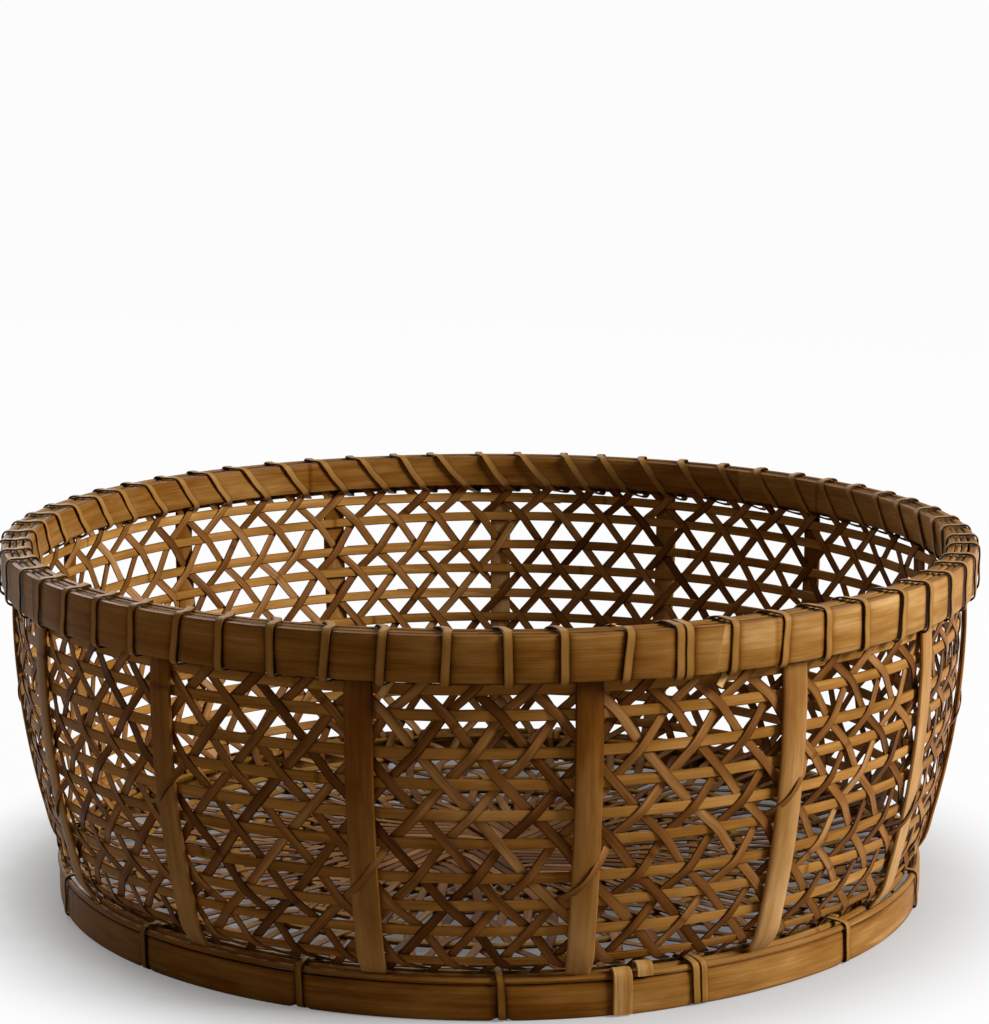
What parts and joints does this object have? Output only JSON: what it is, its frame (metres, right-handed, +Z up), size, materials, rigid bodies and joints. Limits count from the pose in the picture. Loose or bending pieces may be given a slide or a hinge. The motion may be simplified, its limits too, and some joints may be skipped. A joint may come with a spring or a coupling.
{
  "type": "rattan fruit bowl",
  "caption": "Round open-work cane bowl with slanting woven walls, a pinwheel base, upright stakes, a lashed rim and a low foot band; holds fruit on a table.",
  "frame": {"origin": "on the table under the middle of the bowl, at the underside of the foot band", "axes": "+Z up out of the mouth, -Y towards the front that the picture shows, +X to the right"},
  "size_m": [0.4022, 0.4022, 0.1484],
  "materials": {
    "band_cane": "satin golden-brown flat cane",
    "reed_cane": "satin thin split reed",
    "lash_cane": "satin binding cane",
    "stake_cane": "satin half-round cane",
    "hoop_cane": "satin half-round cane",
    "ring_cane": "satin olive-brown cane",
    "strand_cane": "satin brown split cane"
  },
  "bodies": {
    "root": {"rim_outer_band": "band_cane", "rim_inner_band": "band_cane", "rim_reed_1": "reed_cane", "rim_reed_2": "reed_cane", "rim_lashing": "lash_cane", "foot_band": "band_cane", "foot_tie_01": "lash_cane", "foot_tie_02": "lash_cane", "foot_tie_03": "lash_cane", "foot_tie_04": "lash_cane", "foot_tie_05": "lash_cane", "foot_tie_06": "lash_cane", "foot_tie_07": "lash_cane", "foot_tie_08": "lash_cane", "foot_tie_09": "lash_cane", "foot_tie_10": "lash_cane", "foot_tie_11": "lash_cane", "foot_tie_12": "lash_cane", "foot_tie_13": "lash_cane", "foot_tie_14": "lash_cane", "foot_tie_15": "lash_cane", "stake_01": "stake_cane", "stake_02": "stake_cane", "stake_03": "stake_cane", "stake_04": "stake_cane", "stake_05": "stake_cane", "stake_06": "stake_cane", "stake_07": "stake_cane", "stake_08": "stake_cane", "stake_09": "stake_cane", "stake_10": "stake_cane", "stake_11": "stake_cane", "stake_12": "stake_cane", "stake_13": "stake_cane", "stake_14": "stake_cane", "stake_15": "stake_cane", "wall_hoop_01": "hoop_cane", "wall_hoop_02": "hoop_cane", "wall_hoop_03": "hoop_cane", "wall_hoop_04": "hoop_cane", "wall_hoop_05": "hoop_cane", "wall_hoop_06": "hoop_cane", "wall_hoop_07": "hoop_cane", "wall_hoop_08": "hoop_cane", "wall_hoop_09": "hoop_cane", "wall_hoop_10": "hoop_cane", "base_ring_1": "ring_cane", "base_ring_2": "ring_cane", "base_ring_3": "ring_cane", "base_ring_4": "ring_cane", "base_ring_5": "ring_cane", "base_corner_ring": "ring_cane", "strand_arm_1": "strand_cane", "strand_arm_2": "strand_cane", "strand_arm_3": "strand_cane", "strand_arm_4": "strand_cane", "strand_arm_5": "strand_cane", "strand_arm_6": "strand_cane"}
  },
  "joints": []
}
